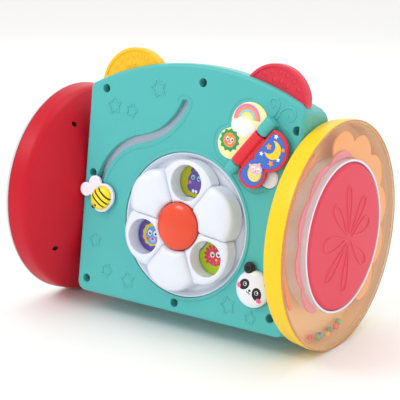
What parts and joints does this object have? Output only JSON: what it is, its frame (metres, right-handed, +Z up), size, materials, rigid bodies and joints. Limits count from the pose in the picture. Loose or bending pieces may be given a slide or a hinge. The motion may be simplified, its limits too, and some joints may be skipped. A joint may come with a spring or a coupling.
{
  "type": "baby activity cube",
  "caption": "Tabletop baby activity toy: wedge body between two round drums, with spinning flower, press dome, bee track, flip page, buttons and rattle drum.",
  "frame": {"origin": "middle of the footprint, on the plane both drums stand on, midway between the outer faces of the two drums", "axes": "+X along the drum axis towards the rattle drum, -Y out of the play face, +Z up"},
  "size_m": [0.3152, 0.21, 0.2588],
  "materials": {
    "teal_plastic": "satin moulded plastic",
    "red_plastic": "satin moulded plastic",
    "yellow_plastic": "satin moulded plastic",
    "orange_plastic": "satin translucent plastic",
    "white_plastic": "glossy moulded plastic",
    "black_plastic": "matte moulded plastic",
    "pad_red_plastic": "soft-touch plastic",
    "clear_plastic": "clear tinted plastic",
    "peach_plastic": "satin plastic sheet",
    "pink_plastic": "satin plastic sheet",
    "printed_label": "printed label on plastic",
    "bezel_plastic": "glossy plastic",
    "safety_mirror": "mirror-finished acrylic",
    "steel": "bright zinc-plated steel",
    "battery_can": "wrapped cell can",
    "speaker_metal": "black coated frame and cone",
    "board_green": "circuit board laminate",
    "lamp_lens": "clear lamp lens",
    "bead_plastic": "glossy coloured plastic"
  },
  "bodies": {
    "housing": {"front_shell": "teal_plastic", "back_shell": "teal_plastic", "battery_door": "teal_plastic", "yellow_ear": "yellow_plastic", "red_ear": "red_plastic", "track_floor": "white_plastic", "picture_dish": "white_plastic", "flower_hub": "white_plastic", "purple_animal_picture": "printed_label", "blue_animal_picture": "printed_label", "pink_animal_picture": "printed_label", "day_wing": "printed_label", "hinge_pin": "steel", "yellow_drum_shell": "yellow_plastic", "pad_seat": "white_plastic", "clear_cover": "clear_plastic", "orange_petals": "peach_plastic", "pink_petals": "pink_plastic", "red_drum_shell": "red_plastic", "mirror_bezel": "bezel_plastic", "mirror": "safety_mirror", "circuit_board": "board_green", "light_bulb": "lamp_lens", "pad_switch": "black_plastic", "battery_tray": "black_plastic", "speaker": "speaker_metal", "face_screw_1": "steel", "face_screw_2": "steel", "face_screw_3": "steel", "face_screw_4": "steel", "face_screw_5": "steel", "face_screw_6": "steel", "face_screw_7": "steel", "red_drum_screw_1": "steel", "red_drum_screw_2": "steel", "red_drum_screw_3": "steel", "red_drum_screw_4": "steel", "battery_1": "battery_can", "battery_2": "battery_can", "battery_3": "battery_can"},
    "flower_wheel": {"flower_wheel": "white_plastic", "wheel_retaining_ring": "white_plastic"},
    "light_dome": {"light_dome": "orange_plastic"},
    "bee": {"bee_base": "white_plastic", "bee_body": "yellow_plastic", "bee_retainer": "white_plastic"},
    "night_page": {"night_page": "red_plastic", "night_picture": "printed_label"},
    "panda_button": {"panda_button": "white_plastic"},
    "white_button": {"white_button": "white_plastic"},
    "drum_pad": {"drum_pad": "pad_red_plastic"},
    "beads": {"bead_1": "bead_plastic", "bead_2": "bead_plastic", "bead_3": "bead_plastic", "bead_4": "bead_plastic", "bead_5": "bead_plastic", "bead_6": "bead_plastic", "bead_7": "bead_plastic"},
    "power_switch": {"power_switch_knob": "black_plastic"}
  },
  "joints": [
    {"name": "flower_spin", "type": "hinge", "parent": "housing", "child": "flower_wheel", "pos_m": [0.0181, -0.05302, 0.10452], "axis": [0, -0.9914, 0.1305], "continuous": true},
    {"name": "dome_press", "type": "slide", "parent": "housing", "child": "light_dome", "axis": [0, 0.9914, -0.1305], "range_m": [0, 0.0025], "stiffness_N_per_m": 400},
    {"name": "bee_slide", "type": "hinge", "parent": "housing", "child": "bee", "pos_m": [-0.0244, -0.05137, 0.11701], "axis": [0, 0.9914, -0.1305], "range_deg": [0, 82]},
    {"name": "page_turn", "type": "hinge", "parent": "housing", "child": "night_page", "pos_m": [0.0852, -0.04823, 0.18841], "axis": [-0.6184, -0.1026, -0.7791], "range_deg": [0, 175]},
    {"name": "panda_press", "type": "slide", "parent": "housing", "child": "panda_button", "axis": [0, 0.9914, -0.1305], "range_m": [0, 0.002], "stiffness_N_per_m": 400},
    {"name": "white_button_press", "type": "slide", "parent": "housing", "child": "white_button", "axis": [0, 0.9914, -0.1305], "range_m": [0, 0.0012], "stiffness_N_per_m": 400},
    {"name": "pad_press", "type": "slide", "parent": "housing", "child": "drum_pad", "axis": [-1, 0, 0], "range_m": [0, 0.002], "stiffness_N_per_m": 800},
    {"name": "beads_tumble", "type": "hinge", "parent": "housing", "child": "beads", "pos_m": [0.1397, 0, 0.105], "axis": [1, 0, 0], "continuous": true},
    {"name": "switch_slide", "type": "slide", "parent": "housing", "child": "power_switch", "axis": [1, 0, 0], "range_m": [0, 0.006]}
  ]
}
